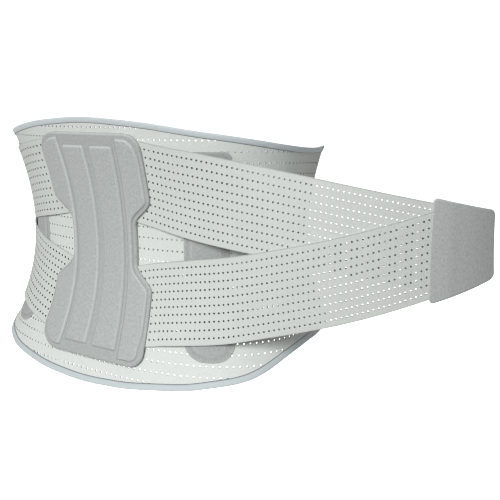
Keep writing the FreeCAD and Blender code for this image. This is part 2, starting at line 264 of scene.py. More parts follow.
TAB_RADIUS = 5.5
# Outer and inner face over the strap ends, and how far each moves past them, over a length.
TAB_OUTER, TAB_INNER = (8.4, -0.9), (3.3, 0.2)
TAB_SETTLE_FROM, TAB_SETTLE_OVER = 18.0, 16.0
TAB_EDGE, TAB_EDGE_WIDTH = 0.3, 1.6     # share of the thickness kept at the rounded edge
HOOK_FACE, HOOK_THICKNESS = 3.5, 1.2

# ---- Camera: behind the wearer's right side, a little above the waist ----
CAMERA_AZIMUTH, CAMERA_ELEVATION, CAMERA_ROLL = 34.2, 11.71, -0.31
CAMERA_DISTANCE = 841.4
CAMERA_RIGHT, CAMERA_UP = 94.35, -27.76     # place of the view's centre from the waist's centre
CAMERA_LENS, CAMERA_SENSOR = 52.86, 36.0

# ---- Perforations ----
KNIT_HOLE = 0.88
STRAP_ROWS = 10
STRAP_ROW_PITCH = 7.45
KNIT_PITCH = 5.4
ROW_START = 7.9             # height of the row at the waist, and the steps up and down from it
ROW_UP, ROW_DOWN, ROW_DOWN_EASE = 10.85, 11.65, 0.095
ROWS_UP, ROWS_DOWN = 11, 15
ROW_DROP, DROP_FROM, DROP_OVER = 12.0, 150.0, 200.0     # upper rows sink towards the sides
DROP_HEIGHT = 60.0          # in full from this height up
KNIT_EDGE = 3.0             # the knit ends inside the binding, this far from the rim
BEND_FROM, BEND_TO = 64.8, 91.8     # whole numbers of the pitch
STRAP_JOIN, STRAP_TAIL = 80.0, 315.2
STRAP_TIP = 344.0
STRAP_ROOT = 36.8

LEFT, RIGHT = -1, 1


# ---- Shape of the belt ----
def power(value, exponent):
    return np.sign(value) * np.abs(value) ** exponent


def ring(angle, grow):
    """Superellipse round the trunk; the angle runs from the middle of the back."""
    exponent = 2.0 / ROUNDNESS
    x = (WAIST_HALF_WIDTH + grow) * power(np.sin(angle), exponent)
    y = -(WAIST_HALF_DEPTH + grow) * power(np.cos(angle), exponent)
    return x, y


ANGLES = np.radians(np.arange(0.0, 250.0, 0.5))
RING_X, RING_Y = ring(ANGLES, 0.0)
ARC = np.concatenate([[0.0], np.cumsum(np.hypot(np.diff(RING_X), np.diff(RING_Y)))])
HALF_GIRTH = float(np.interp(math.pi, ANGLES, ARC))
WING_END = HALF_GIRTH + WING_OVERLAP


def angle_at(s):
    return np.sign(s) * np.interp(np.abs(s), ARC, ANGLES)


def flare(z):
    rate = np.where(z > 0, FLARE_ABOVE, FLARE_BELOW)
    return rate * (z / 100.0) ** 2


def smooth(value):
    value = np.clip(value, 0.0, 1.0)
    return value * value * (3.0 - 2.0 * value)


def trunk(s, z, offset):
    """Points on the belt, in millimetres."""
    s, z, offset = np.broadcast_arrays(*(np.asarray(v, float) for v in (s, z, offset)))
    x, y = ring(angle_at(s), flare(z) + offset)
    return np.stack([x, y, z], -1)


def left_side(s, z, offset):
    """Points on the left wing, which lies over the right one at the front."""
    s = np.asarray(s, float)
    lap = LAP_RISE * smooth((-s - (HALF_GIRTH - LAP_FROM)) / LAP_OVER)
    return trunk(s, z, offset + lap)


def free_side(s, z, offset):
    """Points on the drawn-out right straps."""
    s, z, offset = np.broadcast_arrays(*(np.asarray(v, float) for v in (s, z, offset)))
    step = trunk(FREE_FROM + 0.5, 0.0, 0.0) - trunk(FREE_FROM - 0.5, 0.0, 0.0)
    along = step / np.linalg.norm(step)
    outward = np.array([along[1], -along[0], 0.0])
    free = np.maximum(s - FREE_FROM, 0.0)
    turn = FREE_TURN * free + FREE_TURN_GROWTH * free * free
    points = trunk(np.minimum(s, FREE_FROM), z, offset)
    points = points + (free * np.cos(turn))[..., None] * along
    points = points + (free * np.sin(turn))[..., None] * outward
    return points - (flare(z) * smooth(free / FREE_FLATTEN))[..., None] * outward


def rim(terms, waves, s, front):
    angle = np.abs(angle_at(s))
    share = smooth((angle - FRONT_FROM) / (FRONT_TO - FRONT_FROM))
    height = terms[0] + terms[1] * np.cos(angle) + terms[2] * np.cos(2.0 * angle) + front * share
    for centre, reach, rise in waves:
        height = height + rise * smooth(1.0 - np.abs(np.abs(s) - centre) / reach)
    return height


def rim_top(s):
    return rim(RIM_TOP, WAVES_TOP, s, -FRONT_DROP)


def rim_bottom(s):
    return rim(RIM_BOTTOM, WAVES_BOTTOM, s, FRONT_RISE)


# Each side with its name and its surface: for the wings, and for their straps and tabs.
WINGS = ((LEFT, "left", left_side), (RIGHT, "right", trunk))
FLANKS = ((LEFT, "left", left_side), (RIGHT, "right", free_side))


# ---- Mesh helpers ----
def show(item):
    bpy.context.scene.collection.objects.link(item)


def new_piece(name, points, faces, uv, material, sharp=38.0, shaded=None, painted_light=None,
              wall=None):
    """Object from points in millimetres, with a map of real lengths and smooth shading. Faces
    counted in shaded take the painted shade of a hole's wall, and each point may carry a painted highlight and a
    painted shade."""
    mesh = bpy.data.meshes.new(name)
    mesh.from_pydata((np.asarray(points) * MM).tolist(), [], faces)
    if shaded is not None:
        mesh.polygons.foreach_set("material_index", np.asarray(shaded, np.int32))
    if painted_light is not None:
        colours = mesh.attributes.new("painted_light", "FLOAT_COLOR", "POINT")
        filled = np.pad(painted_light, ((0, 0), (0, 2)))
        filled[:, 3] = 1.0
        colours.data.foreach_set("color", filled.astype(np.float32).ravel())
    layer = mesh.uv_layers.new(name="UVMap")
    corners = np.zeros(len(mesh.loops), np.int32)
    mesh.loops.foreach_get("vertex_index", corners)
    layer.data.foreach_set("uv", (np.asarray(uv)[corners] * MM).astype(np.float32).ravel())
    tidy = bmesh.new()
    tidy.from_mesh(mesh)
    bmesh.ops.remove_doubles(tidy, verts=tidy.verts, dist=2e-7)
    bmesh.ops.dissolve_degenerate(tidy, dist=1e-7, edges=tidy.edges)
    loose = [v for v in tidy.verts if not v.link_faces]
    bmesh.ops.delete(tidy, geom=loose, context="VERTS")
    tidy.to_mesh(mesh)
    tidy.free()
    mesh.shade_smooth()
    mesh.set_sharp_from_angle(angle=math.radians(sharp))
    mesh.materials.append(material)
    if shaded is not None:
        mesh.materials.append(wall)
    piece = bpy.data.objects.new(name, mesh)
    show(piece)
    return piece


def outline(grid):
    """Values round the edge of a grid, each once."""
    return np.concatenate([grid[0, :], grid[1:, -1], grid[-1, -2::-1], grid[-2:0:-1, 0]])


def cells(index):
    """Quads of a grid of point numbers."""
    return np.stack([index[:-1, :-1], index[:-1, 1:], index[1:, 1:], index[1:, :-1]], -1)


def edge_wall(index, side):
    """Quads from the edge of a grid to that of its back, whose point numbers are side higher."""
    border = outline(index)
    ahead = np.roll(border, -1)
    return np.stack([ahead, border, border + side, ahead + side], -1)


def perforated(name, place, bands, inner, outer, material, radius):
    """Closed two-sided sheet with round holes. Each band is (columns, heights, holes, rows_v):
    place along, height of each row line at each column, where a hole is centred, and the
    rows' own measure across the cloth."""
    points, uv, faces, shaded = [], [], [], []
    turn = np.radians(np.arange(0, 360, 45))
    around = [(0, 1), (1, 1), (1, 0), (1, -1), (0, -1), (-1, -1), (-1, 0), (-1, 1)]
    for columns, heights, holes, rows_v in bands:
        grid_s = np.broadcast_to(columns, heights.shape)
        grid_v = np.broadcast_to(rows_v, heights.shape)
        hole_list = np.argwhere(holes)
        hs = columns[hole_list[:, 1]][:, None] + radius * np.cos(turn)
        hz = heights[holes][:, None] + radius * np.sin(turn)
        hv = grid_v[holes][:, None] + radius * np.sin(turn)
        s = np.concatenate([grid_s.ravel(), hs.ravel()])
        z = np.concatenate([heights.ravel(), hz.ravel()])
        v = np.concatenate([grid_v.ravel(), hv.ravel()])
        base = len(points)
        side = len(s)
        points += place(s, z, outer(s)).tolist()
        points += place(s, z, inner(s)).tolist()
        uv += np.stack([s, v], -1).tolist() * 2
        rows, cols = heights.shape
        index = np.arange(rows * cols).reshape(rows, cols)
        cell_hole = holes[:-1, :-1] | holes[1:, :-1] | holes[:-1, 1:] | holes[1:, 1:]
        out = [cells(index)[~cell_hole]]
        wall = []
        for number, (r, c) in enumerate(hole_list):
            grid = np.array([index[r + dr, c + dc] for dr, dc in around])
            ring_index = rows * cols + number * 8 + np.arange(8)
            ahead = np.roll(ring_index, -1)
            out.append(np.stack([grid, np.roll(grid, -1), ahead, ring_index], -1))
            wall.append(np.stack([ring_index, ahead, ahead + side, ring_index + side], -1))
        edge = edge_wall(index, side)
        wall.append(edge)
        out = np.concatenate(out)
        faces += (out + base).tolist()
        faces += (out[:, ::-1] + side + base).tolist()
        faces += (np.concatenate(wall) + base).tolist()
        shaded += [0] * (2 * len(out)) + [1] * (8 * len(hole_list)) + [0] * len(edge)
    return new_piece(name, points, faces, uv, material[0], shaded=shaded, wall=material[1])


def loop_sweep(name, place, path, inward, profile, material):
    """Bar with a closed profile of (distance inward from the rim, offset), along a path on
    the belt; path and inward are (s, z) pairs."""
    count, size = len(path), len(profile)
    s = path[:, 0, None] + inward[:, 0, None] * profile[None, :, 0]
    z = path[:, 1, None] + inward[:, 1, None] * profile[None, :, 0]
    points = place(s, z, np.broadcast_to(profile[:, 1], s.shape)).reshape(-1, 3)
    # Painted shadow: a darker strip along the bar's inner edge, where it meets the knit.
    painted_shadow = smooth((profile[:, 0] - BINDING_HEIGHT + SHADOW_LINE_WIDTH) / SHADOW_LINE_FADE)
    painted_shadow = np.broadcast_to(painted_shadow, s.shape).ravel()
    painted_light = np.stack([0.0 * painted_shadow, painted_shadow], -1)
    length = np.concatenate([[0], np.cumsum(np.hypot(*np.diff(path, axis=0).T))])
    around = np.concatenate([[0], np.cumsum(np.hypot(*np.diff(profile, axis=0).T))])
    uv = np.stack(np.broadcast_arrays(length[:, None], around[None, :]), -1).reshape(-1, 2)
    index = np.arange(count * size).reshape(count, size)
    ahead = np.roll(index, -1, axis=1)
    faces = np.stack([index[:-1], index[1:], ahead[1:], ahead[:-1]], -1).reshape(-1, 4).tolist()
    faces.append(index[0, :].tolist())
    faces.append(index[-1, ::-1].tolist())
    piece = new_piece(name, points, faces, uv, material, painted_light=painted_light)
    facing = bmesh.new()
    facing.from_mesh(piece.data)
    bmesh.ops.recalc_face_normals(facing, faces=facing.faces)
    facing.to_mesh(piece.data)
    facing.free()
    return piece


def border_distance(s, z, border=None):
    """Distance of each grid point to a border, the grid's own unless another is given."""
    if border is None:
        border = outline(np.stack([s, z], -1))
        border = np.concatenate([border, border[:1]])
    start, end = border[:-1], border[1:]
    step = end - start
    square = np.maximum((step ** 2).sum(-1), 1e-12)
    best = np.full(s.shape, 1e9)
    for a, d, q in zip(start, step, square):
        share = np.clip(((s - a[0]) * d[0] + (z - a[1]) * d[1]) / q, 0.0, 1.0)
        best = np.minimum(best, np.hypot(s - a[0] - share * d[0], z - a[1] - share * d[1]))
    return best


def slab(name, place, s, z, bottom, top, material, sharp=50.0, painted_light=None):
    """Closed pad over a grid of places, between two offset fields."""
    rows, cols = s.shape
    points = np.concatenate([place(s, z, top).reshape(-1, 3), place(s, z, bottom).reshape(-1, 3)])
    flat = np.stack([s, z], -1).reshape(-1, 2)
    uv = np.concatenate([flat, flat])
    side = rows * cols
    index = np.arange(side).reshape(rows, cols)
    out = cells(index).reshape(-1, 4)
    faces = np.concatenate([out, out[:, ::-1] + side, edge_wall(index, side)]).tolist()
    if painted_light is not None:
        painted_light = np.stack([np.append(part, 0.0 * part) for part in painted_light], -1)
    return new_piece(name, points, faces, uv, material, sharp, painted_light=painted_light)


# ---- Materials ----
def srgb(r, g, b):
    """Linear colour of an 8-bit display colour."""
    out = []
    for value in (r, g, b):
        value = value / 255.0
        out.append(value / 12.92 if value <= 0.04045 else ((value + 0.055) / 1.055) ** 2.4)
    return (*out, 1.0)


class Nodes:
    """Short hand for building a material's node tree."""

    def __init__(self, name):
        self.material = bpy.data.materials.new(name)
        self.material.use_nodes = True
        self.tree = self.material.node_tree
        self.shader = self.tree.nodes["Principled BSDF"]

    def add(self, kind, **values):
        node = self.tree.nodes.new(kind)
        for key, value in values.items():
            if key in node.inputs:
                node.inputs[key].default_value = value
            else:
                setattr(node, key, value)
        return node

    def link(self, source, target):
        self.tree.links.new(source, target)

    def feed(self, socket, value):
        """Set a socket to a number or a colour, or link another node's output to it."""
        if isinstance(value, (int, float, tuple)):
            socket.default_value = value
        else:
            self.link(value, socket)

    def millimetres(self, u=1.0, v=1.0):
        """The piece's own lengths in millimetres, stretched by u and v."""
        coords = self.add("ShaderNodeTexCoord")
        scale = self.add("ShaderNodeMapping")
        scale.inputs["Scale"].default_value = (1000.0 * u, 1000.0 * v, 1000.0)
        self.link(coords.outputs["UV"], scale.inputs["Vector"])
        return scale.outputs["Vector"]

    def noise(self, vector, scale, detail=2.0, rough=0.5):
        node = self.add("ShaderNodeTexNoise", Scale=scale, Detail=detail, Roughness=rough)
        self.link(vector, node.inputs["Vector"])
        return node.outputs["Fac"]

    def wave(self, vector, direction, scale, distortion=0.0):
        node = self.add("ShaderNodeTexWave", Scale=scale, Distortion=distortion)
        node.bands_direction = direction
        node.wave_profile = "SIN"
        self.link(vector, node.inputs["Vector"])
        return node.outputs["Fac"]

    def math(self, operation, a, b):
        node = self.add("ShaderNodeMath", operation=operation)
        for socket, value in zip(node.inputs, (a, b)):
            self.feed(socket, value)
        return node.outputs[0]

    def ramp(self, value, colour, dark, light, low=0.3, high=0.7):
        """Shades of a colour, from dark times it at low to light times it at high."""
        node = self.add("ShaderNodeValToRGB")
        for i, (position, shade) in enumerate(((low, dark), (high, light))):
            node.color_ramp.elements[i].position = position
            node.color_ramp.elements[i].color = scaled(colour, shade)
        self.link(value, node.inputs["Fac"])
        return node.outputs["Color"]

    def mix(self, factor, a, b, blend="MIX"):
        node = self.add("ShaderNodeMix", data_type="RGBA", blend_type=blend)
        for number, value in ((0, factor), (6, a), (7, b)):
            self.feed(node.inputs[number], value)
        return node.outputs[2]

    def bump(self, height, distance_mm, strength=1.0):
        node = self.add("ShaderNodeBump", Strength=strength, Distance=distance_mm * MM)
        self.link(height, node.inputs["Height"])
        self.link(node.outputs["Normal"], self.shader.inputs["Normal"])

    def painted_light(self):
        """Painted highlight and painted shade at each point, read from the point attribute."""
        read = self.add("ShaderNodeAttribute", attribute_name="painted_light")
        parts = self.add("ShaderNodeSeparateColor")
        self.link(read.outputs["Color"], parts.inputs["Color"])
        return parts.outputs["Red"], parts.outputs["Green"]

    def cloth(self, sheen, sheen_roughness, specular):
        self.shader.inputs["Sheen Weight"].default_value = sheen
        self.shader.inputs["Sheen Roughness"].default_value = sheen_roughness
        self.shader.inputs["Specular IOR Level"].default_value = specular

    def finish(self, colour, roughness, roughest=None, fac=None):
        """Base colour, and a roughness that is even or rises with fac."""
        self.link(colour, self.shader.inputs["Base Color"])
        if fac is None:
            self.shader.inputs["Roughness"].default_value = roughness
        else:
            node = self.add("ShaderNodeMapRange", **{"To Min": roughness, "To Max": roughest})
            self.link(fac, node.inputs["Value"])
            self.link(node.outputs["Result"], self.shader.inputs["Roughness"])
        return self.material


def scaled(colour, factor):
    return (*(min(c * factor, 1.0) for c in colour[:3]), 1.0)


def knit_material(name, colour, grain=0.12, thread=0.9, shadow_edge_at=None):
    """Matt knit or woven elastic: mottled yarn, fine courses along the cloth, and, at a given half
    width, a painted shadow line along both edges."""
    n = Nodes(name)
    mm = n.millimetres()
    along = n.millimetres(0.35, 1.0)
    mottle = n.noise(mm, 0.5, 4.0, 0.8)
    streak = n.noise(along, 1.2, 3.0, 0.7)
    patches = n.noise(mm, 0.03, 2.0)
    ribs = 1.0 / thread / 2.0 * math.pi / 3.0
    course = n.wave(mm, "Y", ribs, 1.2)
    wale = n.wave(mm, "X", ribs, 1.2)
    weave = n.math("MULTIPLY", course, wale)
    shades = 1.0 - grain, 1.0 + grain
    base = n.ramp(mottle, colour, *shades, 0.32, 0.68)
    base = n.mix(0.35, base, n.ramp(streak, colour, *shades))
    base = n.mix(0.5, base, n.ramp(patches, colour, 0.97, 1.02))
    base = n.mix(n.math("MULTIPLY", weave, 0.10), base, scaled(colour, 0.70))
    # Painted shadow: a darker line along both edges of the strap.
    if shadow_edge_at:
        across = n.add("ShaderNodeSeparateXYZ")
        n.link(mm, across.inputs[0])
        reach = {"From Min": shadow_edge_at - 1.1, "From Max": shadow_edge_at - 0.1, "To Max": 0.55}
        edge = n.add("ShaderNodeMapRange", **reach)
        n.link(n.math("ABSOLUTE", across.outputs["Y"], 0.0), edge.inputs["Value"])
        base = n.mix(edge.outputs["Result"], base, scaled(colour, 0.5))
    height = n.math("ADD", weave, n.math("MULTIPLY", mottle, 0.8))
    n.bump(height, 0.22, 0.7)
    n.cloth(0.12, 0.6, 0.25)
    return n.finish(base, 0.82, 0.97, mottle)


def felt_material(name, colour, grain=0.32, bump=0.3, painted_light=False):
    """Bonded grey fabric: fine brushed fibres; where asked, a painted highlight along ridges and painted shade in
    hollows.
    """
    n = Nodes(name)
    mm = n.millimetres()
    fibre = n.noise(n.millimetres(1.0, 0.7), 0.55, 5.0, 0.8)
    mottle = n.noise(mm, 0.25, 4.0, 0.75)
    patches = n.noise(mm, 0.04, 2.0)
    shades = 1.0 - grain, 1.0 + grain
    base = n.ramp(fibre, colour, *shades, 0.34, 0.66)
    base = n.mix(0.3, base, n.ramp(mottle, colour, *shades))
    base = n.mix(0.25, base, n.ramp(patches, colour, 0.96, 1.03))
    if painted_light:
        # Painted shade in the hollows, then a painted highlight along the ridges.
        highlight_share, painted_shade = n.painted_light()
        base = n.mix(painted_shade, base, scaled(colour, 0.70))
        base = n.mix(highlight_share, base, scaled(colour, 1.45))
    n.bump(n.math("ADD", fibre, n.math("MULTIPLY", mottle, 0.6)), bump, 0.8)
    n.cloth(0.15, 0.55, 0.25)
    return n.finish(base, 0.80, 0.95, fibre)


def binding_material(name, colour):
    """Smooth elastic edging: fine ribs along it, and a painted shadow line along its inner edge."""
    n = Nodes(name)
    mm = n.millimetres()
    rib = n.wave(mm, "X", 1.6, 0.6)
    mottle = n.noise(mm, 0.9, 2.0)
    base = n.ramp(mottle, colour, 0.95, 1.05)
    base = n.mix(n.math("MULTIPLY", rib, 0.12), base, scaled(colour, 0.8))
    # Painted shadow along the inner edge, where the binding meets the knit.
    base = n.mix(n.painted_light()[1], base, scaled(colour, 0.38))
    n.bump(n.math("ADD", n.math("MULTIPLY", rib, 0.6), mottle), 0.12, 0.6)
    n.cloth(0.2, 0.5, 0.35)
    return n.finish(base, 0.5, 0.7, mottle)


def plain_material(name, colour, roughness, metallic=0.0, bump=0.03):
    """Moulded or rolled stiffener with a fine grain."""
    n = Nodes(name)
    coords = n.add("ShaderNodeTexCoord")
    scale = n.add("ShaderNodeMapping")
    scale.inputs["Scale"].default_value = (1000.0, 1000.0, 300.0)
    n.link(coords.outputs["Object"], scale.inputs["Vector"])
    grain = n.noise(scale.outputs["Vector"], 1.0, 3.0)
    base = n.ramp(grain, colour, 0.93, 1.05)
    n.bump(grain, bump, 0.5)
    n.shader.inputs["Metallic"].default_value = metallic
    return n.finish(base, roughness * 0.85, min(roughness * 1.15, 1.0), grain)


def tape_material(name, colour, spots):
    """Hook or loop tape: dense small dots standing up from the tape."""
    n = Nodes(name)
    mm = n.millimetres()
    dots = n.add("ShaderNodeTexVoronoi", Scale=spots, Randomness=0.55)
    n.link(mm, dots.inputs["Vector"])
    base = n.ramp(dots.outputs["Distance"], colour, 1.12, 0.72, 0.1, 0.6)
    n.bump(n.math("SUBTRACT", 1.0, dots.outputs["Distance"]), 0.35, 0.9)
    return n.finish(base, 0.85)


KNIT_COLOUR = srgb(225, 230, 226)
STRAP_COLOUR = srgb(217, 222, 218)
PANEL_COLOUR = srgb(177, 181, 180)
MATERIAL = {
    "knit": knit_material("belt_knit", KNIT_COLOUR),
    # The straps take a painted shadow line along their edges.
    "strap": knit_material("strap_elastic", STRAP_COLOUR, 0.13, 0.8, STRAP_WIDTH / 2.0),
    "binding": binding_material("binding_elastic", srgb(200, 209, 211)),
    "panel": felt_material("panel_felt", PANEL_COLOUR, painted_light=True),
    # Walls of the holes take painted shade: near-black in the straps, dark grey in the knit.
    "hole": felt_material("hole_painted_shade", srgb(28, 31, 30)),
    "knit_hole": felt_material("knit_hole_painted_shade", srgb(62, 66, 64)),
    "pocket": felt_material("pocket_felt", srgb(168, 172, 171), painted_light=True),
    "tab": felt_material("tab_felt", srgb(184, 188, 187), 0.32, 0.25),
    "lining": felt_material("lining_felt", srgb(186, 189, 188), 0.05, 0.12),
    "foam": plain_material("pad_foam", srgb(228, 224, 206), 0.95, 0.0, 0.25),
    "steel": plain_material("spring_steel", srgb(190, 193, 198), 0.35, 1.0),
    "cap": plain_material("cap_plastic", srgb(235, 235, 232), 0.5),
    "plastic": plain_material("stay_plastic", srgb(222, 226, 226), 0.45),
    "hook": tape_material("hook_tape", srgb(150, 154, 154), 0.9),
    "loop": tape_material("loop_tape", srgb(196, 200, 199), 0.7),
}


# ---- Knit body ----
def row_lines():
    """Heights of the knit's hole rows at the back: they close up towards the lower rim."""
    up = [ROW_START + ROW_UP * k for k in range(1, ROWS_UP + 1)]
    down = [ROW_START - (ROW_DOWN - ROW_DOWN_EASE * k) * k for k in range(ROWS_DOWN)]
    return sorted(up + down)


def row_shift(z, s):
    """How far the upper rows sink towards the belt's sides."""
    return -ROW_DROP * smooth((np.abs(s) - DROP_FROM) / DROP_OVER) * smooth(z / DROP_HEIGHT)


ROW_HALF = 2.4              # half the height of the band that holds a row of holes
GRID_BOTTOM, GRID_TOP = -160.0, 150.0       # past both rims; the grid is cut back to them
PLAIN_BAND = 4.0            # strip without holes above the last row


def knit_bands(s0, s1, end_from=None):
    """Grid of the knit between two places along the waist."""
    low_rim, high_rim = wing_limits(end_from)
    half = KNIT_PITCH / 2.0
    first, last = math.ceil(s0 / half - 1e-6), math.floor(s1 / half + 1e-6)
    columns = np.arange(first, last + 1) * half
    if columns[-1] < s1 - 1e-6:
        columns = np.append(columns, s1)
    if columns[0] > s0 + 1e-6:
        columns = np.insert(columns, 0, s0)
    order = np.round(columns / half).astype(int)
    lines, rows = [GRID_BOTTOM], [False]
    for z in row_lines():
        gap = z - ROW_HALF - lines[-1]
        lines += [lines[-1] + gap / 2.0, z - ROW_HALF, z, z + ROW_HALF]
        rows += [False, False, True, False]
    lines = np.array(lines + [lines[-1] + PLAIN_BAND, GRID_TOP])[:, None]
    rows = np.array(rows + [False, False])[:, None]
    wanted = lines + row_shift(lines, columns[None, :])
    low, high = low_rim(columns), high_rim(columns)
    heights = np.clip(wanted, low, high)
    inside = (wanted - ROW_HALF > low) & (wanted + ROW_HALF < high)
    holes = inside & rows & (order % 2 == 1)[None, :] & np.isclose(columns, order * half)[None, :]
    holes[:, 0] = False
    holes[:, -1] = False
    holes[:, 1:-1] &= inside[:, 2:] & inside[:, :-2]
    below = (heights <= low).all(1)
    above = (heights >= high).all(1)
    keep = ~(below & np.roll(below, -1)) & ~(above & np.roll(above, 1))
    return [(columns, heights[keep], holes[keep], lines[keep])]


CORNER_RADIUS = 30.0


def wing_limits(end):
    """Lower and upper limit of the knit; near a wing's end they follow its round corners."""
    def drop(s):
        if end is None:
            return np.zeros_like(s)
        radius = CORNER_RADIUS - KNIT_EDGE
        into = np.clip(np.abs(s) - (WING_END - CORNER_RADIUS), 0.0, radius)
        return radius - np.sqrt(np.maximum(radius ** 2 - into ** 2, 0.0))

    def low(s):
        return rim_bottom(s) + KNIT_EDGE + drop(s)

    def high(s):
        return rim_top(s) - KNIT_EDGE - drop(s)

    return low, high


def knit_piece(name, place, s0, s1, nodes, end=None):
    """Knit between two places; its flat size allows for the flare of the trunk to the rims."""
    piece = perforated(name, place, knit_bands(s0, s1, end), lambda s: KNIT_INNER + 0.0 * s,
                       lambda s: KNIT_OUTER + 0.0 * s, (MATERIAL["knit"], MATERIAL["knit_hole"]),
                       KNIT_HOLE)
    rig.slot(piece, "belt_knit")
    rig.replaces(piece, *nodes)
    width = (s1 - s0) * MM * 1.08
    height = float((rim_top(np.array([(s0 + s1) / 2])) - rim_bottom(np.array([(s0 + s1) / 2])))[0])
    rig.sheet(piece, flat=(width, height * MM * 1.06), held="stretched")
    return piece


def bend_points(side, first, last):
    start = trunk(side * first, 0.0, 0.0) * MM
    end = trunk(side * last, 0.0, 0.0) * MM
    return dict(start=tuple(start), end=tuple(end))


def build_knit():
    piece = knit_piece("back_knit", trunk, -BEND_FROM, BEND_FROM, ["back_fabric"])
    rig.ride(piece, "back")
    knit_end = WING_END - KNIT_EDGE
    for side, name, place in WINGS:
        ends = sorted((side * BEND_FROM, side * BEND_TO))
        piece = knit_piece(f"{name}_bend_knit", trunk, *ends, [f"{name}_bend_fabric"])
        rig.blend(piece, "back", f"{name}_wing", **bend_points(side, BEND_FROM, BEND_TO))
        ends = sorted((side * BEND_TO, side * knit_end))
        piece = knit_piece(f"{name}_wing_knit", place, *ends, [f"{name}_wing_fabric"], side)
        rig.ride(piece, f"{name}_wing")


# ---- Binding ----
SECTION_POWER = 0.62        # below 1 makes the section fuller than an ellipse


def binding_profile():
    """Rounded section of the folded elastic: flat sides, full edge."""
    turn = np.linspace(0.0, 2.0 * math.pi, 20, endpoint=False)
    middle = (BINDING_INNER + BINDING_OUTER) / 2.0
    half = (BINDING_OUTER - BINDING_INNER) / 2.0
    depth = BINDING_HEIGHT / 2.0 * (1.0 - power(np.cos(turn), SECTION_POWER))
    return np.stack([depth, middle + half * power(np.sin(turn), SECTION_POWER)], -1)


def rim_path(which, s0, s1, step=4.0):
    """Path along a rim with its inward direction."""
    count = max(3, int(abs(s1 - s0) / step) + 1)
    s = np.linspace(s0, s1, count)
    height = rim_top if which == "top" else rim_bottom
    slope = height(s + 0.5) - height(s - 0.5)
    normal = np.stack([slope, -np.ones_like(s)], -1) / np.hypot(slope, 1.0)[:, None]
    if which == "bottom":
        normal = -normal
    return np.stack([s, height(s)], -1), normal


def wing_path(side):
    """Path along the top rim, round the wing's end and back along the bottom rim."""
    straight_end = side * (WING_END - CORNER_RADIUS)
    top, top_in = rim_path("top", side * BEND_TO, straight_end)
    bottom, bottom_in = rim_path("bottom", straight_end, side * BEND_TO)
    turn = np.radians(np.linspace(90, 0, 12))[1:]
    arc_in = -np.stack([side * np.cos(turn), np.sin(turn)], -1)
    centre = np.array([straight_end, top[-1, 1] - CORNER_RADIUS])
    upper = centre - CORNER_RADIUS * arc_in
    centre = np.array([straight_end, bottom[0, 1] + CORNER_RADIUS])
    lower_in = arc_in[::-1] * np.array([1.0, -1.0])
    lower = centre - CORNER_RADIUS * lower_in
    z = np.linspace(upper[-1, 1], lower[0, 1], 24)[1:-1]
    down = np.stack([np.full_like(z, upper[-1, 0]), z], -1)
    down_in = np.broadcast_to(np.array([-side, 0.0]), down.shape)
    path = np.concatenate([top, upper, down, lower, bottom])
    inward = np.concatenate([top_in, arc_in, down_in, lower_in, bottom_in])
    return path, inward


def edging(name, place, route, *nodes):
    piece = loop_sweep(name, place, *route, binding_profile(), MATERIAL["binding"])
    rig.slot(piece, "binding")
    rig.replaces(piece, *nodes)
    return piece


def build_binding():
    for which in ("top", "bottom"):
        piece = edging(f"back_edging_{which}", trunk, rim_path(which, -BEND_FROM, BEND_FROM),
                       f"back_binding_{which}")
        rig.ride(piece, "back")
    for side, name, place in WINGS:
        for which in ("top", "bottom"):
            route = rim_path(which, side * BEND_FROM, side * BEND_TO)
            piece = edging(f"{name}_bend_edging_{which}", trunk, route, f"{name}_bend_bindings")
            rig.blend(piece, "back", f"{name}_wing", **bend_points(side, BEND_FROM, BEND_TO))
        piece = edging(f"{name}_wing_edging", place, wing_path(side), f"{name}_binding_top",
                       f"{name}_binding_bottom", f"{name}_end_binding")
        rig.ride(piece, f"{name}_wing")


